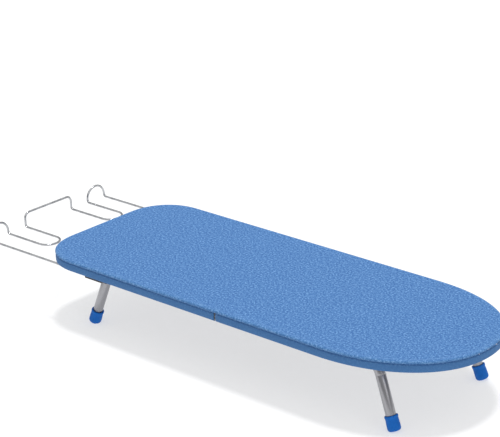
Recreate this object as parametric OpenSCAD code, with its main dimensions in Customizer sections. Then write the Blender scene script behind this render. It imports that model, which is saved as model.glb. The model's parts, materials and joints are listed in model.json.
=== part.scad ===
// Folding tabletop ironing board with a pull-out wire iron rest.
// Origin: on the floor, under the middle of the whole length. +X points to the round nose, +Z is up.
// Rest state: board flat, legs down, iron rest pulled out, hook stowed against the mesh.

/* [Board] */
// Length of the ironing surface
board_l = 813; // [790:1:830]
// Width of the ironing surface
board_w = 305; // [300:1:312]
// Radius of the two corners of the square end
corner_r = 85; // [70:1:90]
// Length of the rounded nose
nose_l = 205; // [190:1:215]
// Height of the sewn side of the cover
hem_h = 19.3; // [18.5:0.1:20]
// Width of the cover's fold under the rim
wrap_w = 10; // [6:1:10]
// Thickness of the cover cloth
cover_t = 0.8; // [0.6:0.1:1]
// Thickness of the felt pad
pad_t = 3.2; // [2:0.1:3.6]

/* [Steel frame] */
// Thickness of the rim, mesh and strip sheet
sheet_t = 1.2; // [1:0.1:1.4]
// Width of the rim's inward flange
flange_w = 11; // [8:1:11]
// Width of the solid strip along the fold
strip_w = 24; // [20:1:25]
// Width of each crossbar
bar_w = 18; // [14:1:18]
// Distance of the inner crossbars from the fold
bar_inner_x = 40; // [39:1:44]
// Distance of the outer crossbars from the fold
bar_outer_x = 200; // [190:1:205]

/* [Legs] */
// Outside diameter of the leg tubes
tube_d = 16; // [15:1:16]
// Wall of the leg tubes
tube_wall = 1; // [0.8:0.1:1.2]
// Distance of the leg tubes from the centre line
leg_y = 103.5; // [98:0.5:104]
// Depth of the tube axes below the ironing surface
tube_drop = 20; // [20:0.5:21]
// Distance from the fold to the point where the legs turn down
bend_x = 280; // [270:1:282]
// Sideways splay of the legs past upright, in degrees
splay = 4; // [2:1:6]
// Centre-line radius of the leg bend
bend_r = 32.5; // [32.5, 39]
// Outside diameter of the foot caps
cap_d = 21; // [19:1:21]
// Length of the foot caps
cap_l = 24; // [22:1:32]

/* [Iron rest] */
// Diameter of the rest's wire
wire_d = 4; // [3:0.5:4]
// Sliding travel of the rest
rest_travel = 132; // [110:1:132]
// Distance of the two sliding rods from the centre line
rod_outer_y = 136; // [134:1:136]
// Distance of the next rods from the centre line
rod_middle_y = 95; // [90:1:98]
// Distance of the two inner rods from the centre line
rod_inner_y = 54.5; // [50:0.5:58]
// Length of the inner prongs, from the loops to their turns
prong_l = 100; // [90:1:102]
// Height of the upturned loops above the rods
loop_rise = 25; // [20:1:30]

/* [Hook] */
// Diameter of the hook wire
hook_d = 3; // [2.5:0.5:3]
// Radius of the hook's curve at the wire's centre
hook_r = 24; // [20:1:25]
// Distance from the hook's pivot to the centre of its curve
hook_reach = 68; // [60:1:69]

/* [Hidden] */

$fn = 72;
half_l = board_l / 2;
half_w = board_w / 2;
edge_gap = 0.3;
frame_gap = 1;
nose_steps = 40;

// Heights, measured from the ironing surface downwards
pad_top = cover_t;
mesh_top = cover_t + pad_t;
mesh_bottom = mesh_top + sheet_t;
rim_bottom = hem_h - cover_t;
tube_r = tube_d / 2;
liner_t = 1;
bar_bottom = tube_drop - tube_r - liner_t;
bar_t = 1.5;
rod_drop = hem_h + 3.2;

// Legs: both feet of one half meet at the centre line when they are folded in
foot_gap = 1;
leg_reach = leg_y - foot_gap;
tube_z = leg_reach * cos(splay);
top_z = tube_drop + tube_z;
leg_dir = [44, 0, -117] / 125;
leg_tilt = atan(44 / 117);
leg_l = leg_reach * 125 / 117;
foot_point = [bend_x, 0, 0] + leg_dir * leg_l;
tube_leg_l = 104;
tube_end_x = 2;
cap_floor = leg_l - tube_leg_l;
cap_edge = 1;

// Links across the fold
hinge_lift = 0.3;
pin_x = tube_drop + hinge_lift;
pin_r = 2;
pin_head_r = 4;
pin_head_h = 1.6;
link_t = 4;
link_ear_r = 6;
link_clear = 1.5;
link_band = 13.5;
link_depth = pin_x + link_clear + link_band;
run_gap = 0.06;

// Saddle clamps
clamp_t = 1.2;
screw_y = 16.5;
screw_r = 1.75;
screw_hole_r = 2;
screw_head_r = 3.6;
screw_head_h = 2.2;
liner_l = bar_w + 4;

// Iron rest and its guides
wire_r = wire_d / 2;
guide_l = 38;
guide_x = 283;
guide_in = 6.5;
guide_low = 5.5;
guide_lip = 6;
stop_r = 5.75;
stop_l = 12.7;
stop_gap = 0.3;
foot_bend = 5;
square_bend = 10;
loop_gap = 3.5;
loop_x = half_l + loop_gap + rest_travel;
u_turn_x = loop_x - prong_l;
stop_x = guide_x - guide_l / 2 - stop_gap;
stop_grip = 6;
stop_nose = 3;

// Hook block at the middle of the square end
block_l = 24;
block_w = 26;
block_h = 11;
block_end = 11.5;
hook_wire_r = hook_d / 2;
hook_drop = mesh_bottom + 0.6 + hook_wire_r;
hook_pivot_x = half_l - block_end - block_l + 4.5;
hook_bar = 8;
hook_slot = 2.1;
hook_swing_room = 14;
hook_bend = 6;
hook_lead = 3;
tip_r = 2;
tip_l = 8;

// The whole length runs from the loops' outer side to the nose: its middle is the origin
loops_end = loop_x + wire_r;
fold_x = (loops_end - half_l) / 2;

// ---- frames and helpers ----

module at_board() translate([fold_x, 0, top_z]) children();

module at_tube() translate([fold_x, 0, tube_z]) children();

// Extrudes a Y-Z profile along +X from x0
module along_x(x0, length) translate([x0, 0, 0]) rotate([90, 0, 90]) linear_extrude(length) children();

// Extrudes a plan shape between two depths below the surface
module between(high, low) translate([0, 0, -low]) linear_extrude(low - high) children();

module both_sides() {
    children();
    mirror([0, 1, 0]) children();
}

// Plan outline of the square half, set in from the edge; it ends at x = end_x
module square_outline(inset, end_x) {
    r = corner_r - inset;
    w = half_w - inset;
    x0 = inset - half_l;
    translate([x0 + r, -w]) square([end_x - x0 - r, 2 * w]);
    translate([x0, r - w]) square([2 * r, 2 * (w - r)]);
    for (s = [-1, 1]) translate([x0 + r, s * (w - r)]) circle(r);
}

// Plan outline of the nose half: straight sides and half an ellipse
module nose_outline(inset, end_x) {
    a = nose_l - inset;
    b = half_w - inset;
    x0 = half_l - nose_l;
    arc = [for (i = [0 : nose_steps]) let (t = 90 - 180 * i / nose_steps) [x0 + a * cos(t), b * sin(t)]];
    polygon(concat([[end_x, -b], [end_x, b]], arc));
}

module outline(half, inset, gap) {
    if (half == "square") square_outline(inset, -gap);
    else nose_outline(inset, gap);
}

// Band that follows the edge and is open at the fold
module edge_band(half, outer, inner, gap) difference() {
    outline(half, outer, gap);
    outline(half, inner, -frame_gap);
}

function unit(v) = v / norm(v);

// Sweeps a round 2D section along straight runs joined by true bends.
// bends[i] is the bend radius at points[i], with 0 at both ends.
module swept(points, bends) {
    last = len(points) - 1;
    dirs = [for (i = [0 : last - 1]) unit(points[i + 1] - points[i])];
    turns = [for (i = [0 : last]) i == 0 || i == last ? 0 : acos(dirs[i - 1] * dirs[i])];
    trims = [for (i = [0 : last]) bends[i] * tan(turns[i] / 2)];
    for (i = [0 : last - 1]) {
        run = norm(points[i + 1] - points[i]) - trims[i] - trims[i + 1];
        if (run > 0.01) frame_at(points[i] + dirs[i] * trims[i], dirs[i]) linear_extrude(run) children();
    }
    for (i = [1 : last - 1]) {
        inward = unit(dirs[i] - (dirs[i] * dirs[i - 1]) * dirs[i - 1]);
        start = points[i] - dirs[i - 1] * trims[i];
        bend_frame(start + inward * bends[i], -inward, dirs[i - 1])
            rotate_extrude(angle = turns[i]) translate([bends[i], 0]) children();
    }
}

// Places local +Z along a direction
module frame_at(place, dir) {
    side = abs(dir[2]) > 0.9 ? [1, 0, 0] : [0, 0, 1];
    u = unit(cross(side, dir));
    v = cross(dir, u);
    multmatrix([
        [u[0], v[0], dir[0], place[0]],
        [u[1], v[1], dir[1], place[1]],
        [u[2], v[2], dir[2], place[2]],
        [0, 0, 0, 1]
    ]) children();
}

// Places local +X and +Y along two directions at right angles
module bend_frame(place, u, v) {
    w = cross(u, v);
    multmatrix([
        [u[0], v[0], w[0], place[0]],
        [u[1], v[1], w[1], place[1]],
        [u[2], v[2], w[2], place[2]],
        [0, 0, 0, 1]
    ]) children();
}

// ---- one half of the board ----

module mesh(half) color("gainsboro")
    at_board() between(mesh_top, mesh_bottom) outline(half, cover_t + sheet_t, strip_w);

module rim(half) color("silver") at_board() {
    between(mesh_top, rim_bottom) edge_band(half, cover_t, cover_t + sheet_t, frame_gap);
    between(rim_bottom - sheet_t, rim_bottom) edge_band(half, cover_t, cover_t + flange_w, frame_gap);
}

module fold_strip(half) color("darkgray") at_board() {
    w = half_w - cover_t - sheet_t;
    x0 = half == "square" ? -strip_w : frame_gap;
    between(mesh_top, mesh_bottom) translate([x0, -w]) square([strip_w - frame_gap, 2 * w]);
}

module strip_rivets(half) color("gray") at_board() {
    side = half == "square" ? -1 : 1;
    head_h = 1.2;
    head_r = 3.5;
    for (s = [-1, 1])
        translate([side * strip_w / 2, s * rod_outer_y, -mesh_bottom - head_h]) cylinder(head_h, r = head_r);
}

module crossbars(half) color("whitesmoke") at_board() {
    side = half == "square" ? -1 : 1;
    bar_half = half_w - cover_t - sheet_t - edge_gap;
    for (x = [bar_inner_x, bar_outer_x]) difference() {
        translate([side * x - bar_w / 2, -bar_half, -bar_bottom])
            cube([bar_w, 2 * bar_half, bar_bottom - mesh_bottom]);
        translate([side * x - bar_w / 2 + bar_t, -half_w, bar_t - bar_bottom])
            cube([bar_w - 2 * bar_t, board_w, bar_bottom]);
        for (y = [-leg_y, leg_y], s = [-1, 1])
            translate([side * x, y + s * screw_y, -bar_bottom - 1]) cylinder(bar_t + 2, r = screw_hole_r);
    }
}

// Repeats a child at the four places where a tube crosses a bar
module at_clamps(half) {
    side = half == "square" ? -1 : 1;
    for (x = [bar_inner_x, bar_outer_x], y = [-leg_y, leg_y])
        translate([fold_x + side * x, y, tube_z]) children();
}

module saddle_clamps(half) color("silver") at_clamps(half) {
    r_in = tube_r + liner_t;
    r_out = r_in + clamp_t;
    along_x(-bar_w / 2, bar_w) difference() {
        union() {
            circle(r_out);
            translate([-r_out, 0]) square([2 * r_out, r_in]);
        }
        circle(r_in);
        translate([-r_in, 0]) square([2 * r_in, r_out + 1]);
    }
    for (s = [-1, 1]) translate([0, 0, r_in - clamp_t]) linear_extrude(clamp_t) difference() {
        union() {
            translate([-bar_w / 2, s > 0 ? r_in : -screw_y]) square([bar_w, screw_y - r_in]);
            translate([0, s * screw_y]) circle(bar_w / 2 - edge_gap);
        }
        translate([0, s * screw_y]) circle(screw_hole_r);
        translate([-bar_w, -r_in]) square([2 * bar_w, 2 * r_in]);
    }
}

module clamp_liners(half) color("black") at_clamps(half)
    along_x(-liner_l / 2, liner_l) difference() {
        circle(tube_r + liner_t - 0.05);
        circle(tube_r + run_gap);
    }

module clamp_screws(half) color("dimgray") at_clamps(half) {
    z = tube_r + liner_t - clamp_t;
    for (s = [-1, 1]) translate([0, s * screw_y, z]) difference() {
        union() {
            translate([0, 0, -screw_head_h]) cylinder(screw_head_h, r = screw_head_r);
            cylinder(clamp_t + bar_t + 1.5, r = screw_r);
        }
        translate([0, 0, -screw_head_h - 1]) cylinder(2.2, r = 1.7, $fn = 6);
    }
}

module pad(half) color("ivory")
    at_board() between(pad_top, mesh_top) outline(half, cover_t, edge_gap);

module cover(half) color("cornflowerblue") at_board() {
    between(0, cover_t) outline(half, 0, edge_gap);
    between(0, hem_h) edge_band(half, 0, cover_t, edge_gap);
    between(rim_bottom, hem_h) edge_band(half, 0, wrap_w, edge_gap);
}

// ---- legs: drawn upright for the front leg of the nose half, then splayed and mirrored ----

module leg_place(half) at_tube() translate([0, -leg_y, 0]) rotate([-splay, 0, 0]) {
    if (half == "square") mirror([1, 0, 0]) children();
    else children();
}

module tube_rivet_shape() {
    cylinder(2 * tube_r, r = pin_r, center = true);
    for (s = [0, 1]) mirror([0, 0, s]) translate([0, 0, tube_r - edge_gap]) cylinder(pin_head_h, r = pin_head_r);
}

module leg_sweep(x0, length, r)
    swept([[x0, 0, 0], [bend_x, 0, 0], [bend_x, 0, 0] + leg_dir * length], [0, bend_r, 0]) circle(r);

module leg_tube(half) color("silver") leg_place(half) difference() {
    leg_sweep(tube_end_x, tube_leg_l, tube_r);
    leg_sweep(tube_end_x - 1, tube_leg_l + 1, tube_r - tube_wall);
    if (half == "square") {
        slot_h = link_t + 0.6;
        translate([0, -2 * tube_r, -slot_h / 2]) cube([pin_x + link_ear_r + 0.5, 2 * tube_r - 3, slot_h]);
        translate([pin_x, 0, 0]) tube_rivet_shape();
    } else {
        shell_end = pin_x + link_ear_r + 2;
        shell_z = link_t / 2 + 0.4;
        translate([0, -2 * tube_r, -2 * tube_r]) cube([shell_end, 4 * tube_r, 2 * tube_r + shell_z]);
    }
}

module foot_cap(half) color("royalblue") difference() {
    leg_place(half) translate(foot_point) rotate([0, -leg_tilt, 0]) difference() {
        translate([0, 0, cap_edge]) cylinder(cap_l, r = cap_d / 2);
        translate([0, 0, cap_floor]) cylinder(cap_l, r = tube_r);
    }
    translate([-board_l, -board_w, -cap_l]) cube([2 * board_l, 2 * board_w, cap_l]);
}

module tube_rivet() color("whitesmoke") leg_place("square") translate([pin_x, 0, 0]) tube_rivet_shape();

// ---- links across the fold: drawn for the front tubes ----

module link_place() at_tube() translate([0, -leg_y, 0]) rotate([-splay, 0, 0]) children();

module link_plate() color("lightsteelblue") link_place() translate([0, 0, -link_t / 2])
    linear_extrude(link_t) difference() {
        union() {
            for (s = [-1, 1]) {
                translate([s * pin_x, 0]) circle(link_ear_r);
                translate([s * pin_x - link_ear_r, -link_depth]) square([2 * link_ear_r, link_depth]);
            }
            translate([-pin_x - link_ear_r, -link_depth]) square([2 * (pin_x + link_ear_r), link_band]);
        }
        translate([-pin_x, 0]) circle(pin_r + run_gap);
        translate([pin_x, 0]) circle(pin_r);
    }

module link_rivet() color("whitesmoke") link_place() translate([pin_x, 0, 0]) {
    shank_low = tube_r + edge_gap;
    shank_high = tube_r - tube_wall - 0.5;
    translate([0, 0, -shank_low]) cylinder(shank_low + shank_high, r = pin_r);
    translate([0, 0, -shank_low - pin_head_h]) cylinder(pin_head_h, r = pin_head_r);
}

// ---- iron rest ----

// Corner points of one side of the wire, from the stop cap to the middle of the square loop
round_r = (rod_outer_y - rod_middle_y) / 2;
turn_r = (rod_middle_y - rod_inner_y) / 2;
round_top = foot_bend + round_r;
rest_side = [
    [stop_grip - stop_x, rod_outer_y, 0],
    [-loop_x, rod_outer_y, 0],
    [-loop_x, rod_outer_y, round_top],
    [-loop_x, rod_middle_y, round_top],
    [-loop_x, rod_middle_y, 0],
    [-u_turn_x, rod_middle_y, 0],
    [-u_turn_x, rod_inner_y, 0],
    [-loop_x, rod_inner_y, 0],
    [-loop_x, rod_inner_y, loop_rise],
    [-loop_x, 0, loop_rise]
];
rest_bends = [0, foot_bend, round_r, round_r, foot_bend, turn_r, turn_r, foot_bend, square_bend, 0];

module iron_rest_wire() color("silver") at_board() translate([0, 0, -rod_drop])
    both_sides() swept(rest_side, rest_bends) circle(wire_r);

module rest_stop_caps() color("black") at_board() both_sides()
    translate([-stop_x, rod_outer_y, -rod_drop]) rotate([0, 90, 0]) difference() {
        union() {
            cylinder(stop_l - stop_nose, r = stop_r);
            translate([0, 0, stop_l - stop_nose]) cylinder(stop_nose, r1 = stop_r, r2 = stop_r - stop_nose);
        }
        translate([0, 0, -1]) cylinder(1 + stop_grip, r = wire_r);
    }

module rest_guides() color("black") at_board() both_sides() difference() {
    translate([-guide_x - guide_l / 2, rod_outer_y, 0]) union() {
        inner_edge = half_w - cover_t - flange_w - rod_outer_y;
        translate([0, -guide_in, -rod_drop - guide_low])
            cube([guide_l, guide_in + inner_edge, rod_drop + guide_low - rim_bottom + 4]);
        translate([0, -guide_in, sheet_t - rim_bottom])
            cube([guide_l, guide_in + inner_edge + guide_lip, 4 - sheet_t]);
    }
    translate([-guide_x - guide_l, rod_outer_y, -rod_drop])
        rotate([0, 90, 0]) cylinder(2 * guide_l, r = wire_r + run_gap);
}

// ---- hook ----

module hook_block() color("white") at_board() difference() {
    translate([block_end - half_l, -block_w / 2, -mesh_bottom - block_h]) cube([block_l, block_w, block_h]);
    translate([-hook_pivot_x, 0, -hook_drop]) {
        rotate([90, 0, 0]) cylinder(2 * hook_bar + 0.6, r = hook_wire_r + run_gap, center = true);
        translate([-hook_swing_room, -hook_slot, -2 * block_h])
            cube([2 * block_l, 2 * hook_slot, 2 * block_h + hook_wire_r + run_gap]);
    }
}

// The offset run slopes 3 across for 4 along
hook_path = [
    [0, 0, 0],
    [hook_reach - hook_lead - hook_r * 4 / 3, 0, 0],
    [hook_reach - hook_lead, hook_r, 0],
    [hook_reach + hook_r, hook_r, 0],
    [hook_reach + hook_r, -hook_r, 0],
    [hook_reach, -hook_r, 0]
];
hook_bends = [0, hook_bend, hook_bend, hook_r, hook_r, 0];

module hook_wire() color("silver") at_board() translate([-hook_pivot_x, 0, -hook_drop]) {
    rotate([90, 0, 0]) cylinder(2 * hook_bar, r = hook_wire_r, center = true);
    swept(hook_path, hook_bends) circle(hook_wire_r);
}

module hook_tip() color("black") at_board()
    translate([-hook_pivot_x + hook_reach, -hook_r, -hook_drop]) rotate([0, -90, 0]) cylinder(tip_l, r = tip_r);

mesh("square");  // square_mesh
rim("square");  // square_rim
fold_strip("square");  // square_fold_strip
strip_rivets("square");  // square_strip_rivets
crossbars("square");  // square_crossbars
saddle_clamps("square");  // square_saddle_clamps
clamp_liners("square");  // square_clamp_liners
clamp_screws("square");  // square_clamp_screws
pad("square");  // square_pad
cover("square");  // square_cover
rest_guides();
hook_block();
mesh("nose");  // nose_mesh
rim("nose");  // nose_rim
fold_strip("nose");  // nose_fold_strip
strip_rivets("nose");  // nose_strip_rivets
crossbars("nose");  // nose_crossbars
saddle_clamps("nose");  // nose_saddle_clamps
clamp_liners("nose");  // nose_clamp_liners
clamp_screws("nose");  // nose_clamp_screws
pad("nose");  // nose_pad
cover("nose");  // nose_cover
leg_tube("square");  // front_square_leg_tube
foot_cap("square");  // front_square_foot_cap
tube_rivet();  // front_tube_rivet
mirror([0, 1, 0]) leg_tube("square");  // rear_square_leg_tube
mirror([0, 1, 0]) foot_cap("square");  // rear_square_foot_cap
mirror([0, 1, 0]) tube_rivet();  // rear_tube_rivet
leg_tube("nose");  // front_nose_leg_tube
foot_cap("nose");  // front_nose_foot_cap
mirror([0, 1, 0]) leg_tube("nose");  // rear_nose_leg_tube
mirror([0, 1, 0]) foot_cap("nose");  // rear_nose_foot_cap
link_plate();  // front_link_plate
link_rivet();  // front_link_rivet
mirror([0, 1, 0]) link_plate();  // rear_link_plate
mirror([0, 1, 0]) link_rivet();  // rear_link_rivet
iron_rest_wire();
rest_stop_caps();
hook_wire();
hook_tip();
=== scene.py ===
"""Looks of the folding tabletop ironing board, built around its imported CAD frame.

Everything is in metres in the frame's own axes: +X points to the round nose, +Z is up. Plan positions called
"along" are measured from the fold, and depths are measured down from the ironing surface.
"""

import json
import math

import bmesh
import bpy
import numpy as np
from mathutils import Matrix, Vector


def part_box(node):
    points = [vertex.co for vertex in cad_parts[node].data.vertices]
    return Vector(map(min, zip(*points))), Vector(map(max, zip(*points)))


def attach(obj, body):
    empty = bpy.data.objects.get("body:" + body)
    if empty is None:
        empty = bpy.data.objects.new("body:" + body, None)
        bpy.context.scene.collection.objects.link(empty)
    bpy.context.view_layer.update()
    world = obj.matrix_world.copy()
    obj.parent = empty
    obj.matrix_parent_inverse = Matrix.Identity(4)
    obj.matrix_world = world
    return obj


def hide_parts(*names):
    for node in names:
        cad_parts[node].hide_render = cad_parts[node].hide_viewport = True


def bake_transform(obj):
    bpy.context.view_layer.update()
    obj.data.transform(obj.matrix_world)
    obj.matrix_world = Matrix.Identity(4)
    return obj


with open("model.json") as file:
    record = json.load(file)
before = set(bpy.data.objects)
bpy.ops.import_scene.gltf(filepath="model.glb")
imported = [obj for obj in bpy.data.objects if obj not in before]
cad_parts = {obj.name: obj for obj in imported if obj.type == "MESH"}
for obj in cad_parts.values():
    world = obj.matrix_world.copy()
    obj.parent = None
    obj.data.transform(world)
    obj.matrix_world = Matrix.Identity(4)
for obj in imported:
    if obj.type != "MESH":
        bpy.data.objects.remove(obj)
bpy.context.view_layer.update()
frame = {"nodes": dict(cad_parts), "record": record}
BODY_OF = {node: body for body, nodes in frame["record"]["behaviour"]["bodies"].items() for node in nodes}

# ---- driving dimensions ----

_, SQUARE_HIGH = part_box("square_cover")
NOSE_LOW, NOSE_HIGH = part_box("nose_cover")
FOLD_X = (SQUARE_HIGH.x + NOSE_LOW.x) / 2
TOP_Z = SQUARE_HIGH.z
HALF_L = NOSE_HIGH.x - FOLD_X
HALF_W = NOSE_HIGH.y
MM = 0.001
WELD = 1e-7
CORNER_R = 85 * MM
NOSE_L = 205 * MM
CORNER_POWER = 2.2
NOSE_POWER = 2.12
CLOTH_T = 0.64 * MM
MESH_TOP = TOP_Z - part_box("square_mesh")[1].z
MESH_BOTTOM = TOP_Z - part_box("square_mesh")[0].z
RIM_BOTTOM = TOP_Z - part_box("square_rim")[0].z
SLIT_HALF = 1.8 * MM
SLIT_TOP = 4.4 * MM
# Edge points across the fold, from one side of the cover's slit to the other
FOLD_COLUMNS = [x * MM for x in (-1.8, -0.6, -0.4, -0.2, 0, 0.2, 0.4, 0.6, 1.8)]

JOINTS = {joint["name"]: joint for joint in frame["record"]["behaviour"]["joints"]}
_, TUBE_Y, TUBE_Z = JOINTS["rear_legs_fold"]["pos_m"]
BEND_ALONG = 280 * MM
LEG_TILT = math.atan2(44, 117)
LEG_SPLAY = math.radians(4)
LEG_L = TUBE_Z / math.cos(LEG_SPLAY) / math.cos(LEG_TILT)


# ---- materials ----


class Finish:
    """A node material: its shader, and short calls that add texture nodes."""

    def __init__(self, name, color, roughness, metallic=0.0, **sockets):
        self.mat = bpy.data.materials.new(name)
        self.mat.use_nodes = True
        self.nodes = self.mat.node_tree.nodes
        self.links = self.mat.node_tree.links
        self.shader = self.nodes["Principled BSDF"]
        self.shader.inputs["Base Color"].default_value = (*color, 1)
        self.shader.inputs["Roughness"].default_value = roughness
        self.shader.inputs["Metallic"].default_value = metallic
        for socket, value in sockets.items():
            self.shader.inputs[socket.replace("_", " ")].default_value = value

    def coordinates(self, kind="Object", stretch=(1, 1, 1)):
        place = self.nodes.new("ShaderNodeTexCoord")
        mapping = self.nodes.new("ShaderNodeMapping")
        mapping.inputs["Scale"].default_value = stretch
        self.links.new(place.outputs[kind], mapping.inputs["Vector"])
        return mapping.outputs["Vector"]

    def noise(self, vector, scale, detail=2.0, roughness=0.5):
        node = self.nodes.new("ShaderNodeTexNoise")
        node.inputs["Scale"].default_value = scale
        node.inputs["Detail"].default_value = detail
        node.inputs["Roughness"].default_value = roughness
        self.links.new(vector, node.inputs["Vector"])
        return node.outputs["Fac"]

    def wave(self, vector, scale, direction, distortion=0.0):
        node = self.nodes.new("ShaderNodeTexWave")
        node.bands_direction = direction
        node.inputs["Scale"].default_value = scale
        node.inputs["Distortion"].default_value = distortion
        self.links.new(vector, node.inputs["Vector"])
        return node.outputs["Fac"]

    def ramp(self, value, stops):
        node = self.nodes.new("ShaderNodeValToRGB")
        first, last = node.color_ramp.elements[0], node.color_ramp.elements[-1]
        first.position, first.color = stops[0][0], (*stops[0][1], 1)
        last.position, last.color = stops[-1][0], (*stops[-1][1], 1)
        for position, color in stops[1:-1]:
            node.color_ramp.elements.new(position).color = (*color, 1)
        self.links.new(value, node.inputs["Fac"])
        return node.outputs["Color"]

    def spread(self, value, low, high):
        """A noise value, which lies mostly between 0.3 and 0.7, stretched to run from low to high."""
        node = self.nodes.new("ShaderNodeMapRange")
        node.inputs["From Min"].default_value = 0.3
        node.inputs["From Max"].default_value = 0.7
        node.inputs["To Min"].default_value = low
        node.inputs["To Max"].default_value = high
        self.links.new(value, node.inputs["Value"])
        return node.outputs["Result"]

    def mix(self, factor, a, b, blend="MIX"):
        node = self.nodes.new("ShaderNodeMix")
        node.data_type = "RGBA"
        node.blend_type = blend
        for socket, value in (("Factor", factor), ("A", a), ("B", b)):
            # A Mix node has one socket of each name per data type; the colour ones are the last
            target = next(s for s in node.inputs if s.name == socket and s.enabled)
            if isinstance(value, bpy.types.NodeSocket):
                self.links.new(value, target)
            else:
                target.default_value = value if isinstance(value, float) else (*value, 1)
        return next(s for s in node.outputs if s.enabled)

    def math(self, operation, a, b):
        node = self.nodes.new("ShaderNodeMath")
        node.operation = operation
        for target, value in zip(node.inputs, (a, b)):
            if isinstance(value, bpy.types.NodeSocket):
                self.links.new(value, target)
            else:
                target.default_value = value
        return node.outputs[0]

    def color(self, value):
        self.links.new(value, self.shader.inputs["Base Color"])

    def roughness(self, value):
        self.links.new(value, self.shader.inputs["Roughness"])

    def bump(self, height, strength, distance):
        node = self.nodes.new("ShaderNodeBump")
        node.inputs["Strength"].default_value = strength
        node.inputs["Distance"].default_value = distance
        self.links.new(height, node.inputs["Height"])
        self.links.new(node.outputs["Normal"], self.shader.inputs["Normal"])


def cover_cloth():
    """Light blue woven cotton with a fine pale fleck. Its UVs are in metres on the flat cloth.

    The attribute edge_row runs from 0 at the gathered edge to 1 on the top. The hem has a calmer fleck. Painted shade
    dims the hem a little and darkens the stitched groove most, and a painted highlight lightens the roll.
    """
    f = Finish("cover_cloth", (0.07, 0.20, 0.47), 0.8, Specular_IOR_Level=0.2, Sheen_Weight=0.06)
    cloth = f.coordinates("UV")
    fleck = f.ramp(
        f.noise(cloth, 310, detail=3.0, roughness=0.75),
        [(0.38, (0.034, 0.125, 0.35)), (0.50, (0.064, 0.188, 0.445)), (0.64, (0.19, 0.38, 0.68))],
    )
    cloud = f.ramp(f.noise(cloth, 18, detail=3.0), [(0.3, (0.95, 0.96, 0.97)), (0.7, (1.0, 1.0, 1.0))])
    across = f.nodes.new("ShaderNodeAttribute")
    across.attribute_name = "edge_row"
    plain = f.ramp(
        across.outputs["Fac"],
        [(0.46, (0.85, 0.85, 0.85)), (0.56, (0.25, 0.25, 0.25)), (1.0, (0.0, 0.0, 0.0))],
    )
    calm = f.mix(plain, fleck, (0.068, 0.198, 0.45))
    # Painted light across the edge: painted shade on the hem and deepest in the groove under the roll, and a painted
    # highlight on the roll
    painted_shade_and_highlight = f.ramp(
        across.outputs["Fac"],
        [
            (0.0, (0.90, 0.90, 0.90)),
            (0.48, (0.92, 0.92, 0.92)),
            (0.53, (0.55, 0.60, 0.66)),
            (0.585, (0.80, 0.83, 0.86)),
            (0.66, (1.32, 1.20, 1.10)),
            (0.80, (1.20, 1.12, 1.06)),
            (0.95, (1.0, 1.0, 1.0)),
        ],
    )
    f.color(f.mix(1.0, f.mix(1.0, calm, cloud, "MULTIPLY"), painted_shade_and_highlight, "MULTIPLY"))
    weave = f.math("MULTIPLY", f.wave(cloth, 420, "X", 0.6), f.wave(cloth, 420, "Y", 0.6))
    height = f.math("ADD", weave, f.noise(cloth, 900, detail=2.0))
    f.bump(height, 0.35, 0.0003)
    return f.mat


def felt():
    """Pale grey needled felt."""
    f = Finish("felt", (0.47, 0.49, 0.57), 0.95, Sheen_Weight=0.1)
    place = f.coordinates()
    fibres = f.noise(place, 1400, detail=4.0, roughness=0.7)
    tones = [(0.3, (0.36, 0.38, 0.45)), (0.6, (0.47, 0.49, 0.57)), (0.75, (0.54, 0.57, 0.64))]
    f.color(f.ramp(fibres, tones))
    f.bump(f.noise(place, 500, detail=5.0, roughness=0.7), 0.6, 0.0006)
    return f.mat


def coated_steel(name, color, roughness, metallic, grain=1.0):
    """Painted or plated steel with a faint grain and slow tone changes."""
    f = Finish(name, color, roughness, metallic)
    place = f.coordinates()
    dark = tuple(c * (1 - 0.10 * grain) for c in color)
    light = tuple(min(1.0, c * (1 + 0.06 * grain)) for c in color)
    tone = f.noise(place, 60, detail=5.0, roughness=0.6)
    f.color(f.ramp(tone, [(0.3, dark), (0.5, color), (0.7, light)]))
    f.roughness(f.spread(f.noise(place, 350, detail=3.0), roughness - 0.05 * grain, roughness + 0.07 * grain))
    f.bump(f.noise(place, 1500, detail=2.0), 0.12 * grain, 0.0001)
    return f.mat


def zinc(name, color):
    """Zinc plate with its faint crystal patches."""
    f = Finish(name, color, 0.32, 1.0)
    place = f.coordinates()
    cells = f.nodes.new("ShaderNodeTexVoronoi")
    cells.inputs["Scale"].default_value = 260
    f.links.new(place, cells.inputs["Vector"])
    patch = f.nodes.new("ShaderNodeSeparateColor")
    f.links.new(cells.outputs["Color"], patch.inputs["Color"])
    dark = tuple(c * 0.82 for c in color)
    light = tuple(min(1.0, c * 1.08) for c in color)
    f.color(f.ramp(patch.outputs["Red"], [(0.0, dark), (0.5, color), (1.0, light)]))
    f.roughness(f.spread(f.noise(place, 500, detail=3.0), 0.26, 0.42))
    return f.mat


def plastic(name, color, roughness, fleck):
    """Moulded plastic with a fine skin texture."""
    f = Finish(name, color, roughness, Specular_IOR_Level=0.3)
    place = f.coordinates()
    dark = tuple(c * (1 - 3 * fleck) for c in color)
    light = tuple(min(1.0, c * (1 + 2 * fleck)) for c in color)
    tone = f.noise(place, 130, detail=5.0, roughness=0.6)
    f.color(f.ramp(tone, [(0.3, dark), (0.5, color), (0.75, light)]))
    f.roughness(f.spread(f.noise(place, 700, detail=2.0), roughness - 0.05, roughness + 0.08))
    f.bump(f.noise(place, 2200, detail=2.0), 0.15, 0.0001)
    return f.mat


def bright_wire():
    """Nickel-bright drawn wire: fine draw lines and faint clouding."""
    f = Finish("wire_chrome", (0.40, 0.41, 0.43), 0.24, 1.0)
    place = f.coordinates()
    f.color(f.ramp(f.noise(place, 90, detail=4.0), [(0.3, (0.38, 0.39, 0.41)), (0.6, (0.56, 0.57, 0.59))]))
    f.roughness(f.spread(f.noise(place, 900, detail=3.0), 0.14, 0.27))
    return f.mat


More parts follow.
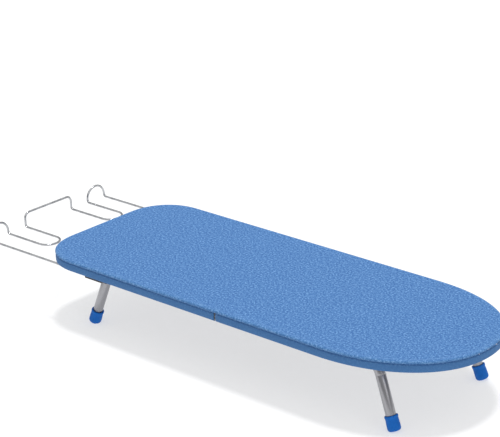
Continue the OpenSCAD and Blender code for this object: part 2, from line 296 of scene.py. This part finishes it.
MATERIALS = {
    "cover_cloth": cover_cloth(),
    "felt": felt(),
    "frame_steel": coated_steel("frame_steel", (0.62, 0.63, 0.66), 0.36, 0.85),
    "mesh_steel": coated_steel("mesh_steel", (0.74, 0.76, 0.84), 0.42, 0.25),
    "strip_steel": coated_steel("strip_steel", (0.42, 0.43, 0.47), 0.42, 0.6),
    "bar_steel": coated_steel("bar_steel", (0.72, 0.72, 0.74), 0.40, 0.45),
    "clamp_steel": coated_steel("clamp_steel", (0.66, 0.67, 0.70), 0.28, 1.0),
    "link_steel": zinc("link_steel", (0.52, 0.57, 0.64)),
    "tube_steel": coated_steel("tube_steel", (0.36, 0.36, 0.38), 0.30, 0.9, grain=0.35),
    "rivet_steel": coated_steel("rivet_steel", (0.70, 0.71, 0.73), 0.30, 1.0),
    "screw_steel": coated_steel("screw_steel", (0.10, 0.10, 0.12), 0.38, 0.8),
    "liner_rubber": plastic("liner_rubber", (0.022, 0.022, 0.026), 0.75, fleck=0.08),
    "black_plastic": plastic("black_plastic", (0.020, 0.020, 0.024), 0.45, fleck=0.08),
    "white_plastic": plastic("white_plastic", (0.80, 0.80, 0.80), 0.35, fleck=0.01),
    "cap_plastic": plastic("cap_plastic", (0.0, 0.135, 0.54), 0.6, fleck=0.03),
    "wire_chrome": bright_wire(),
}
SLOT_OF = {s["node"]: s["material_slot"] for s in frame["record"]["subparts"]}


# ---- mesh helpers ----

# Edges of a CAD copy flatter than the first angle are dissolved, and those sharper than the second are rounded
FLAT_ANGLE = math.radians(0.8)
SHARP_ANGLE = math.radians(38)


def add_object(name, vertices, faces, slot, uvs=None, smooth_angle=40):
    """A new piece with its material slot, smooth except at edges sharper than smooth_angle degrees."""
    mesh = bpy.data.meshes.new(name)
    mesh.from_pydata([tuple(v) for v in vertices], [], faces)
    if uvs is not None:
        layer = mesh.uv_layers.new(name="cloth")
        index = np.empty(len(mesh.loops), int)
        mesh.loops.foreach_get("vertex_index", index)
        layer.data.foreach_set("uv", np.asarray(uvs, np.float32)[index].ravel())
    mesh.validate()
    mesh.shade_smooth()
    mesh.set_sharp_from_angle(angle=math.radians(smooth_angle))
    mesh.materials.append(MATERIALS[slot])
    piece = bpy.data.objects.new(name, mesh)
    bpy.context.scene.collection.objects.link(piece)
    return piece


def edit(piece, action):
    """Runs action on the piece's bmesh."""
    bm = bmesh.new()
    bm.from_mesh(piece.data)
    action(bm)
    bm.to_mesh(piece.data)
    bm.free()
    piece.data.update()


def refined(node, bevel):
    """A copy of a CAD node with welded faces, rounded edges and smooth curves. It stands for that node."""
    piece = bpy.data.objects.new(node + "_finished", frame["nodes"][node].data.copy())
    bpy.context.scene.collection.objects.link(piece)
    slot = SLOT_OF[node]
    piece.data.materials.clear()
    piece.data.materials.append(MATERIALS[slot])

    def round_edges(bm):
        bmesh.ops.remove_doubles(bm, verts=bm.verts, dist=10 * WELD)
        bmesh.ops.dissolve_limit(bm, angle_limit=FLAT_ANGLE, verts=bm.verts, edges=bm.edges)
        if bevel:
            sharp = [e for e in bm.edges if len(e.link_faces) == 2 and e.calc_face_angle(0) > SHARP_ANGLE]
            bmesh.ops.bevel(bm, geom=sharp, offset=bevel, segments=2, profile=0.5, affect="EDGES", clamp_overlap=True)
        bmesh.ops.remove_doubles(bm, verts=bm.verts, dist=WELD)

    edit(piece, round_edges)
    if piece.data.has_custom_normals:
        with bpy.context.temp_override(object=piece, active_object=piece, selected_objects=[piece]):
            bpy.ops.mesh.customdata_custom_splitnormals_clear()
    piece.data.shade_smooth()
    piece.data.set_sharp_from_angle(angle=math.radians(35))
    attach(piece, BODY_OF[node])
    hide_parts(node)


# ---- the board's outline ----


END_STEPS = 14
CORNER_STEPS = 90
NOSE_STEPS = 180
SIDE_PITCH = 5 * MM


def quarter(power, steps):
    """Points of a unit quarter superellipse, from (1, 0) to (0, 1)."""
    turns = [math.pi / 2 * i / steps for i in range(steps + 1)]
    return [(math.cos(t) ** (2 / power), math.sin(t) ** (2 / power)) for t in turns]


def straight(low, high):
    """Points along the front long edge between two distances from the fold, without its ends."""
    count = round((high - low) / SIDE_PITCH)
    return [(low + (high - low) * i / count, -HALF_W) for i in range(1, count)]


def front_outline():
    """Plan points along the front half of the edge, from the middle of the square end to the nose tip."""
    side_y = HALF_W - CORNER_R
    points = [(-HALF_L, -side_y * i / END_STEPS) for i in range(END_STEPS)]
    for c, s in quarter(CORNER_POWER, CORNER_STEPS):
        points.append((-HALF_L + CORNER_R * (1 - c), -side_y - CORNER_R * s))
    points += straight(-HALF_L + CORNER_R, FOLD_COLUMNS[0])
    points += [(x, -HALF_W) for x in FOLD_COLUMNS]
    points += straight(FOLD_COLUMNS[-1], HALF_L - NOSE_L)
    for c, s in quarter(NOSE_POWER, NOSE_STEPS):
        points.append((HALF_L - NOSE_L + NOSE_L * s, -HALF_W * c))
    return points


FRONT = front_outline()
EDGE = np.array(FRONT + [(x, -y) for x, y in reversed(FRONT[1:-1])])


def outward(edge):
    """Outward unit normals of a closed plan outline that runs anticlockwise."""
    ahead, behind = np.roll(edge, -1, 0) - edge, edge - np.roll(edge, 1, 0)
    ahead /= np.linalg.norm(ahead, axis=1)[:, None]
    behind /= np.linalg.norm(behind, axis=1)[:, None]
    tangent = ahead + behind
    normal = np.stack([tangent[:, 1], -tangent[:, 0]], 1)
    return normal / np.linalg.norm(normal, axis=1)[:, None]


NORMAL = outward(EDGE)
STEP = np.linalg.norm(np.roll(EDGE, -1, 0) - EDGE, axis=1)
ARC = np.concatenate([[0], np.cumsum(STEP)[:-1]])


def curved_share():
    """How much each edge point counts as part of a curve, from 0 on the straights to 1, smoothed along the edge."""
    full_curvature, passes = 8, 12
    turn = np.abs((np.roll(NORMAL, -1, 0) - np.roll(NORMAL, 1, 0))).sum(1) / (STEP + np.roll(STEP, 1))
    share = np.clip(turn / full_curvature, 0, 1)
    for _ in range(passes):
        share = (np.roll(share, 1) + share + np.roll(share, -1)) / 3
    return share


CURVED = curved_share()
# The board's middle line, which the rings on the top shrink to; it ends this far from the square end and the nose
MIDDLE_ENDS = 150 * MM, 200 * MM
MIDDLE_X = np.clip(EDGE[:, 0], -HALF_L + MIDDLE_ENDS[0], HALF_L - MIDDLE_ENDS[1])
MEDIAL = np.stack([MIDDLE_X, np.zeros(len(EDGE))], 1)


def half_width(x, inset):
    """Half width of the board at a distance from the fold, for an outline set in by inset."""
    if x < -HALF_L + CORNER_R:
        r, side = CORNER_R - inset, HALF_W - CORNER_R
        u = min(1.0, max(0.0, (-HALF_L + CORNER_R - x) / r))
        return side + r * (1 - u**CORNER_POWER) ** (1 / CORNER_POWER) if u < 1 else 0.0
    if x > HALF_L - NOSE_L:
        u = (x - HALF_L + NOSE_L) / (NOSE_L - inset)
        return (HALF_W - inset) * (1 - u**NOSE_POWER) ** (1 / NOSE_POWER) if u < 1 else 0.0
    return HALF_W - inset


def plan(rows_xy, depth):
    """Plan points measured from the fold, and depths below the surface, to the frame's own points."""
    xyz = np.empty((len(rows_xy), 3))
    xyz[:, 0] = rows_xy[:, 0] + FOLD_X
    xyz[:, 1] = rows_xy[:, 1]
    xyz[:, 2] = TOP_Z - depth
    return xyz


def swell(xy, size, phase):
    """A smooth wandering value between about -1 and 1 over the plan."""
    x, y = xy[:, 0] / size, xy[:, 1] / size
    return (
        np.sin(2.1 * x + 1.3 * y + phase)
        + np.sin(-1.1 * x + 2.6 * y + 2.1 * phase)
        + np.sin(3.7 * x - 0.8 * y + 0.7 * phase)
    ) / 3


def ring_faces(rows, columns, skip=lambda row, column: False):
    """Quads of a closed stack of rings, wound so that they face outwards."""
    faces = []
    for i in range(rows - 1):
        for j in range(columns):
            k = (j + 1) % columns
            if not skip(i, j):
                faces.append((i * columns + j, i * columns + k, (i + 1) * columns + k, (i + 1) * columns + j))
    return faces


def tube_faces(rows, columns, first=0):
    """The quads of a stack of rings, and a face over each end. Its points start at number first."""
    ends = [tuple(reversed(range(columns))), tuple((rows - 1) * columns + k for k in range(columns))]
    return [tuple(first + k for k in face) for face in ring_faces(rows, columns) + ends]


# ---- cover and pad ----


def bend_at_fold(piece):
    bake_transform(piece)


# The cover's section from the gathered edge under the rim, up the sewn side and over the roll to the top:
# inset from the outline, depth below the surface, and distance on the flat cloth past the outline, all in mm
COVER_SECTION = [
    (11.2, 19.0, 31.0),
    (10.6, 19.5, 30.2),
    (9.6, 19.45, 29.0),
    (8.4, 19.25, 27.8),
    (7.2, 19.4, 26.6),
    (5.6, 19.3, 25.0),
    (4.0, 19.3, 23.4),
    (2.6, 19.2, 22.0),
    (1.5, 18.8, 20.9),
    (0.75, 18.1, 19.9),
    (0.35, 17.0, 18.8),
    (0.15, 15.2, 17.0),
    (0.05, 12.6, 14.4),
    (0.10, 10.0, 11.8),
    (0.35, 7.8, 9.6),
    (0.85, 6.4, 8.1),
    (1.25, 5.7, 7.2),
    (1.10, 5.0, 6.5),
    (0.40, 4.4, 6.0),
    (0.02, 3.7, 5.3),
    (0.02, 2.8, 4.5),
    (0.32, 1.8, 3.5),
    (0.95, 0.9, 2.5),
    (1.9, 0.25, 1.4),
    (3.1, -0.08, 0.2),
    (4.4, -0.12, None),
    (6.0, 0.10, None),
    (8.0, 0.42, None),
    (11.0, 0.62, None),
    (15.0, 0.55, None),
]
# Rings from the edge of a top or underside to its middle line, as shares of the way
TOP_STEPS = [0.05, 0.11, 0.18, 0.26, 0.34, 0.43, 0.52, 0.61, 0.7, 0.79, 0.87, 0.94, 1.0]
# The gathers fade out over this many rows of the section
WRAP_ROWS = 8
GATHER_PITCH = 7.5 * MM
GATHER_IN = 0.5 * MM
GATHER_DOWN = 0.75 * MM


def make_cover():
    """One stretched cloth over both halves; its side is slit at the fold on both long edges."""
    points, uvs, edge_row = [], [], []
    gather = np.sin(2 * math.pi * ARC / GATHER_PITCH + 1.2 * np.sin(ARC * 90))
    gather_fine = np.sin(2 * math.pi * ARC / (GATHER_PITCH * 0.43) + 2.0)
    for row, (inset, depth, past) in enumerate(COVER_SECTION):
        share = max(0.0, (WRAP_ROWS - row) / WRAP_ROWS)
        ripple = share * (0.12 + 0.88 * CURVED) * (0.55 * gather + 0.25 * gather_fine)
        ring = EDGE - NORMAL * (inset * MM + GATHER_IN * np.maximum(ripple, -0.6))[:, None]
        drop = depth * MM + GATHER_DOWN * (ripple + share * 0.6 * CURVED)
        if past is None:
            drop = drop + 0.08 * MM * swell(ring, 30 * MM, 1.0)
        elif 4 < depth < 18:
            ring = ring + NORMAL * (0.16 * MM * swell(ring, 22 * MM, 0.4) - 0.1 * MM)[:, None]
        points.append(plan(ring, drop))
        uvs.append(ring if past is None else EDGE + NORMAL * past * MM)
        edge_row += [row / (len(COVER_SECTION) - 1)] * len(EDGE)
    inner = EDGE - NORMAL * COVER_SECTION[-1][0] * MM
    for share in TOP_STEPS:
        ring = inner * (1 - share) + MEDIAL * share
        drop = (0.30 + 0.15 * (1 - share)) * MM + 0.16 * MM * swell(ring, 50 * MM, 2.0)
        points.append(plan(ring, drop))
        uvs.append(ring)
        edge_row += [1.0] * len(EDGE)
    columns = len(EDGE)
    last_side_row = max(i for i, (_, depth, _) in enumerate(COVER_SECTION) if depth * MM > SLIT_TOP)

    def in_slit(row, column):
        ends = EDGE[[column, (column + 1) % columns], 0]
        return row <= last_side_row and np.all(np.abs(ends) <= SLIT_HALF * 1.01)

    faces = ring_faces(len(points), columns, in_slit)
    piece = add_object("cover", np.concatenate(points), faces, "cover_cloth", np.concatenate(uvs), 80)
    piece.data.attributes.new("edge_row", "FLOAT", "POINT").data.foreach_set("value", edge_row)

    def close_middle(bm):
        bmesh.ops.remove_doubles(bm, verts=bm.verts, dist=WELD)
        loose = [v for v in bm.verts if not v.link_faces]
        bmesh.ops.delete(bm, geom=loose, context="VERTS")

    edit(piece, close_middle)
    thickness = piece.modifiers.new("cloth thickness", "SOLIDIFY")
    thickness.thickness = CLOTH_T
    thickness.offset = -1
    bend_at_fold(piece)
    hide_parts("square_cover", "nose_cover")


# The felt's edge in mm, from its underside round to its top: inset from the outline and depth below the surface
PAD_SECTION = [(2.4, 3.95), (1.7, 3.7), (1.3, 3.1), (1.3, 2.5), (1.9, 1.8), (3.0, 1.5), (5.0, 1.45)]


def make_pad():
    """The felt under the cover, pressed slightly through the mesh from above."""
    points = []
    underside, top = 3.95 * MM, 1.5 * MM
    for share in reversed(TOP_STEPS):
        ring = (EDGE - NORMAL * 3 * MM) * (1 - share) + MEDIAL * share
        points.append(plan(ring, underside + 0.12 * MM * swell(ring, 6 * MM, 0.5)))
    for inset, depth in PAD_SECTION:
        points.append(plan(EDGE - NORMAL * inset * MM, np.full(len(EDGE), depth * MM)))
    for share in TOP_STEPS:
        ring = (EDGE - NORMAL * 5 * MM) * (1 - share) + MEDIAL * share
        points.append(plan(ring, top + 0.08 * MM * swell(ring, 40 * MM, 3.0)))
    piece = add_object("felt_pad", np.concatenate(points), ring_faces(len(points), len(EDGE)), "felt")
    edit(piece, lambda bm: bmesh.ops.remove_doubles(bm, verts=bm.verts, dist=WELD))
    bend_at_fold(piece)
    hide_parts("square_pad", "nose_pad")


# ---- steel frame of each half ----

# Rolled steel section of the rim, in mm: inset from the outline and depth. It is a closed loop.
RIM_SECTION = [
    (2.3, 4.05),
    (2.1, 4.3),
    (2.1, 16.4),
    (2.3, 17.6),
    (2.9, 18.3),
    (3.8, 18.5),
    (11.3, 18.5),
    (11.8, 18.2),
    (11.9, 17.7),
    (11.5, 17.3),
    (4.2, 17.3),
    (3.5, 16.9),
    (3.2, 16.3),
    (3.2, 4.25),
    (3.0, 4.05),
]
FRAME_GAP = 1.0 * MM


def make_rim(half, side):
    """The rolled edge of one half's steel frame, open at the fold."""
    node = half + "_rim"
    picked = [j for j in range(len(EDGE)) if side * EDGE[j, 0] > FRAME_GAP]
    if side < 0:
        split = next(i for i in range(len(picked) - 1) if picked[i + 1] != picked[i] + 1)
        picked = picked[split + 1 :] + picked[: split + 1]
    points = []
    for j in picked:
        for inset, depth in RIM_SECTION:
            points.append(plan((EDGE[j] - NORMAL[j] * inset * MM)[None], depth * MM)[0])
    faces = tube_faces(len(picked), len(RIM_SECTION))
    piece = add_object(half + "_rim_rolled", points, faces, "frame_steel")
    edit(piece, lambda bm: bmesh.ops.recalc_face_normals(bm, faces=bm.faces))
    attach(piece, BODY_OF[node])
    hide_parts(node)


DIAMOND_W = 24 * MM
DIAMOND_L = 12.5 * MM
STRAND_W = 1.7 * MM
STRAND_LEAN = 0.32 * MM
BOND_L = 2.8 * MM
MESH_INSET = 3.3 * MM
MESH_START = 24 * MM
SHORTEST_STRAND = 5 * MM


def strand_points(row, x0, side, low, high):
    """The zigzag of one mesh strand, clipped to y from low to high."""
    half_w, amplitude = DIAMOND_W / 2, DIAMOND_L / 4 * 0.93
    first, last = math.floor(low / half_w) - 1, math.ceil(high / half_w) + 1
    line = []
    for k in range(first, last + 1):
        x = x0 + side * amplitude * (1 if (k + row) % 2 == 0 else -1)
        line += [(x, k * half_w - BOND_L / 2), (x, k * half_w + BOND_L / 2)]
    clipped = []
    for (xa, ya), (xb, yb) in zip(line, line[1:]):
        if yb <= low or ya >= high:
            continue
        ta, tb = max(0.0, (low - ya) / (yb - ya)), min(1.0, (high - ya) / (yb - ya))
        if not clipped:
            clipped.append((xa + (xb - xa) * ta, ya + (yb - ya) * ta))
        clipped.append((xa + (xb - xa) * tb, ya + (yb - ya) * tb))
    return clipped


def make_mesh(half, side):
    """Expanded steel: zigzag strands that join at every second point."""
    node = half + "_mesh"
    pitch = DIAMOND_L / 2
    rows = int((HALF_L - MESH_INSET - MESH_START) / pitch) + 1
    thick = MESH_BOTTOM - MESH_TOP
    points, faces = [], []
    for row in range(rows):
        x0 = side * (MESH_START + pitch * (row + 0.4))
        limit = half_width(x0, MESH_INSET) if abs(x0) < HALF_L - MESH_INSET else 0.0
        if limit < SHORTEST_STRAND:
            continue
        line = strand_points(row, x0, side, -limit, limit)
        faces += tube_faces(len(line), 4, len(points))
        lean = STRAND_LEAN * (1 if row % 2 == 0 else -1)
        for x, y in line:
            for dx, dz in ((-1, 0), (1, 0), (1, 1), (-1, 1)):
                shift = lean * (1 if dz else -1)
                depth = MESH_TOP + 0.05 * MM + (thick - 0.1 * MM) * dz
                points.append((FOLD_X + x + dx * STRAND_W / 2 + shift, y, TOP_Z - depth))
    piece = add_object(half + "_expanded_mesh", points, faces, "mesh_steel", smooth_angle=20)
    edit(piece, lambda bm: bmesh.ops.recalc_face_normals(bm, faces=bm.faces))
    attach(piece, BODY_OF[node])
    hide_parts(node)


# ---- legs ----


def leg_frame(side, front):
    """The frame of a leg's foot: local +Z runs up the leg's axis, and the origin is the foot point."""
    mirror_x = Matrix.Scale(side, 4, (1, 0, 0))
    mirror_y = Matrix.Scale(1 if front else -1, 4, (0, 1, 0))
    place = Matrix.Translation((FOLD_X, 0, TUBE_Z)) @ mirror_x @ mirror_y
    splay = Matrix.Translation((0, -TUBE_Y, 0)) @ Matrix.Rotation(-LEG_SPLAY, 4, "X")
    tilt = Matrix.Translation((BEND_ALONG, 0, 0)) @ Matrix.Rotation(-LEG_TILT, 4, "Y")
    return place @ splay @ tilt @ Matrix.Translation((0, 0, -LEG_L))


# The cap's section, in mm: radius and height up the leg from the foot point, outside and then inside
CAP_SECTION = [
    (0.0, 0.7),
    (3.0, 0.7),
    (6.2, 0.8),
    (8.0, 1.2),
    (9.3, 2.1),
    (10.1, 3.5),
    (10.4, 5.4),
    (10.45, 9.0),
    (10.35, 12.5),
    (10.15, 17.0),
    (10.0, 20.6),
    (10.15, 21.3),
    (10.5, 21.8),
    (10.6, 22.8),
    (10.55, 24.1),
    (10.2, 24.7),
    (9.5, 25.0),
    (8.7, 24.9),
    (8.15, 24.3),
    (8.1, 22.0),
]


CAP_COLUMNS = 48


def make_foot_cap(node, side, front):
    """A cap turned about the leg's axis, and cut flat where it stands on the table."""
    matrix = leg_frame(side, front)
    points = []
    for radius, height in CAP_SECTION:
        for k in range(CAP_COLUMNS):
            a = 2 * math.pi * k / CAP_COLUMNS
            p = matrix @ Vector((radius * MM * math.cos(a), radius * MM * math.sin(a), height * MM))
            p.z = max(p.z, 0.0)
            points.append(p)
    faces = ring_faces(len(CAP_SECTION), CAP_COLUMNS)
    piece = add_object(node + "_moulded", points, faces, "cap_plastic", smooth_angle=55)

    def clean(bm):
        bmesh.ops.remove_doubles(bm, verts=bm.verts, dist=WELD)
        bmesh.ops.recalc_face_normals(bm, faces=bm.faces)

    edit(piece, clean)
    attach(piece, BODY_OF[node])
    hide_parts(node)


# ---- hook block's clip ----

BOX_QUADS = [(0, 1, 3, 2), (4, 6, 7, 5), (0, 4, 5, 1), (2, 3, 7, 6), (0, 2, 6, 4), (1, 5, 7, 3)]


def make_block_clip():
    """The block's lip that snaps over the rim's flange, with two slots and a rib."""
    low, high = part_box("hook_block")
    x_end, x_block = FOLD_X - HALF_L + 4.2 * MM, low.x + 0.5 * MM
    y_half = (high.y - low.y) / 2
    z_flange = TOP_Z - RIM_BOTTOM
    z_low = z_flange - 1.9 * MM
    fingers = [(-1.0, -0.42), (-0.30, 0.30), (0.42, 1.0)]
    boxes = [((x_end, y_half * a, z_low), (x_block, y_half * b, z_flange - 0.9 * MM)) for a, b in fingers]
    step_low = low.x - 2.6 * MM, -y_half, z_low
    step_high = low.x + 1.0 * MM, y_half, z_flange + 2.5 * MM
    rib_low = low.x + 2.2 * MM, -y_half, low.z - 0.7 * MM
    rib_high = low.x + 3.4 * MM, y_half, low.z + 0.3 * MM
    boxes += [(step_low, step_high), (rib_low, rib_high)]
    points, faces = [], []
    for a, b in boxes:
        faces += [tuple(len(points) + k for k in quad) for quad in BOX_QUADS]
        points += [(x, y, z) for x in (a[0], b[0]) for y in (a[1], b[1]) for z in (a[2], b[2])]
    piece = add_object("hook_block_clip", points, faces, "white_plastic")

    def soften(bm):
        bmesh.ops.bevel(bm, geom=list(bm.edges), offset=0.35 * MM, segments=3, profile=0.5, affect="EDGES")

    edit(piece, soften)
    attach(piece, BODY_OF["hook_block"])


# ---- camera, light and floor ----

CAMERA_AZIMUTH = math.radians(42.6)
CAMERA_ELEVATION = math.radians(21.24)
CAMERA_ROLL = math.radians(-1.93)
CAMERA_DISTANCE = 3.1365
CAMERA_SLIDE = (-0.0502, 0.2108)
CAMERA_LENS = 140.0


def make_camera():
    """The camera on a sphere round the fold, slid in its own picture plane."""
    a, e, r = CAMERA_AZIMUTH, CAMERA_ELEVATION, CAMERA_ROLL
    back = Vector((math.sin(a) * math.cos(e), -math.cos(a) * math.cos(e), math.sin(e)))
    level = Vector((0, 0, 1)).cross(back).normalized()
    upright = back.cross(level)
    right = math.cos(r) * level + math.sin(r) * upright
    up = -math.sin(r) * level + math.cos(r) * upright
    data = bpy.data.cameras.new("camera")
    data.lens = CAMERA_LENS
    data.clip_end = 50
    camera = bpy.data.objects.new("camera", data)
    bpy.context.scene.collection.objects.link(camera)
    place = Vector((FOLD_X, 0, 0)) + back * CAMERA_DISTANCE + right * CAMERA_SLIDE[0] + up * CAMERA_SLIDE[1]
    turn = Matrix((right, up, back)).transposed().to_4x4()
    camera.matrix_world = Matrix.Translation(place) @ turn
    bpy.context.scene.camera = camera


def make_light(name, kind, energy, direction, **settings):
    """A light that shines along direction."""
    data = bpy.data.lights.new(name, kind)
    data.energy = energy
    for key, value in settings.items():
        setattr(data, key, value)
    lamp = bpy.data.objects.new(name, data)
    bpy.context.scene.collection.objects.link(lamp)
    lamp.rotation_mode = "QUATERNION"
    lamp.rotation_quaternion = Vector(direction).to_track_quat("-Z", "Y")


FLOOR_REACH = 12
FLOOR_ALBEDO = 0.44
FLOOR_GLOW = 0.56


def make_stage():
    """A wide floor whose glow lifts it to white where no shadow falls."""
    mesh = bpy.data.meshes.new("floor")
    corners = [(-1, -1), (1, -1), (1, 1), (-1, 1)]
    mesh.from_pydata([(x * FLOOR_REACH, y * FLOOR_REACH, 0) for x, y in corners], [], [(0, 1, 2, 3)])
    f = Finish("floor", (FLOOR_ALBEDO,) * 3, 0.9, Specular_IOR_Level=0.0)
    f.shader.inputs["Emission Color"].default_value = (1, 1, 1, 1)
    f.shader.inputs["Emission Strength"].default_value = FLOOR_GLOW
    mesh.materials.append(f.mat)
    floor = bpy.data.objects.new("floor", mesh)
    bpy.context.scene.collection.objects.link(floor)


def make_world():
    """A soft white studio: bright overhead, darker towards the horizon so that metal shows its form."""
    world = bpy.data.worlds.new("studio")
    bpy.context.scene.world = world
    world.use_nodes = True
    nodes, links = world.node_tree.nodes, world.node_tree.links
    place = nodes.new("ShaderNodeTexCoord")
    split = nodes.new("ShaderNodeSeparateXYZ")
    ramp = nodes.new("ShaderNodeValToRGB")
    stops = [(0.0, 0.22), (0.12, 0.26), (0.35, 0.55), (0.7, 0.95), (1.0, 1.0)]
    ramp.color_ramp.elements[0].position = stops[0][0]
    ramp.color_ramp.elements[1].position = stops[-1][0]
    ramp.color_ramp.elements[0].color = (stops[0][1],) * 3 + (1,)
    ramp.color_ramp.elements[1].color = (stops[-1][1],) * 3 + (1,)
    for position, level in stops[1:-1]:
        ramp.color_ramp.elements.new(position).color = (level, level, level, 1)
    links.new(place.outputs["Generated"], split.inputs["Vector"])
    links.new(split.outputs["Z"], ramp.inputs["Fac"])
    links.new(ramp.outputs["Color"], nodes["Background"].inputs["Color"])
    nodes["Background"].inputs["Strength"].default_value = 0.85
    # The camera itself sees plain white past the floor's edge
    backdrop = nodes.new("ShaderNodeBackground")
    path = nodes.new("ShaderNodeLightPath")
    mix = nodes.new("ShaderNodeMixShader")
    backdrop.inputs["Color"].default_value = (1, 1, 1, 1)
    links.new(path.outputs["Is Camera Ray"], mix.inputs[0])
    links.new(nodes["Background"].outputs[0], mix.inputs[1])
    links.new(backdrop.outputs[0], mix.inputs[2])
    links.new(mix.outputs[0], nodes["World Output"].inputs["Surface"])


bpy.context.scene.view_settings.view_transform = "Standard"
make_camera()
make_world()
make_stage()
make_light("key", "SUN", 1.75, (-0.03, -0.10, -1.0), angle=math.radians(9))
make_light("side", "SUN", 0.22, (-0.9, 0.25, -0.4), angle=math.radians(30))

make_pad()
make_cover()
HALVES = [("square", -1), ("nose", 1)]
for half, side in HALVES:
    make_rim(half, side)
    make_mesh(half, side)
for row in ("front", "rear"):
    for half, side in HALVES:
        make_foot_cap(f"{row}_{half}_foot_cap", side, row == "front")
make_block_clip()

# How much the edges of the other CAD nodes are rounded, in mm, by the end of the node's name
BEVELS = {
    "fold_strip": 0.35,
    "strip_rivets": 0.35,
    "crossbars": 0.45,
    "saddle_clamps": 0.3,
    "clamp_liners": 0.2,
    "clamp_screws": 0.25,
    "link_plate": 0.5,
    "link_rivet": 0.4,
    "tube_rivet": 0.4,
    "leg_tube": 0.2,
    "rest_guides": 0.9,
    "hook_block": 0.7,
    "rest_stop_caps": 0.8,
    "hook_tip": 1.2,
    "iron_rest_wire": 0.0,
    "hook_wire": 0.4,
}
for node in sorted(frame["nodes"]):
    if frame["nodes"][node].hide_render:
        continue
    kind = next(k for k in BEVELS if node.endswith(k))
    refined(node, BEVELS[kind] * MM)
